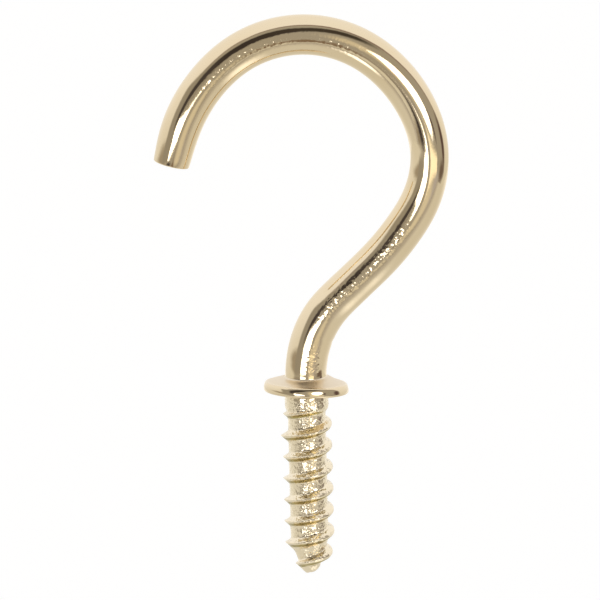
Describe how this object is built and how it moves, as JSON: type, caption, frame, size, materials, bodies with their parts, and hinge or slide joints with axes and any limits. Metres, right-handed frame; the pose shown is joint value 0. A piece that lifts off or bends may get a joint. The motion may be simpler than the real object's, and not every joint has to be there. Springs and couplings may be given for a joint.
{
  "type": "shelf hook",
  "caption": "Screw-in shelf hook: open round bow, leaning shank, domed collar, and a wood-screw thread with a gimlet point, in one piece of brass-plated wire.",
  "frame": {"origin": "centre of the collar's flat underside, where the hook seats on the wood", "axes": "-Z along the screw into the wood, +Z towards the top of the bow, the bow lies in the XZ plane and its mouth opens towards -X"},
  "size_m": [0.0293, 0.0084, 0.0566],
  "materials": {
    "brass_plate": "bright plated"
  },
  "bodies": {
    "root": {"shelf_hook": "brass_plate"}
  },
  "joints": []
}
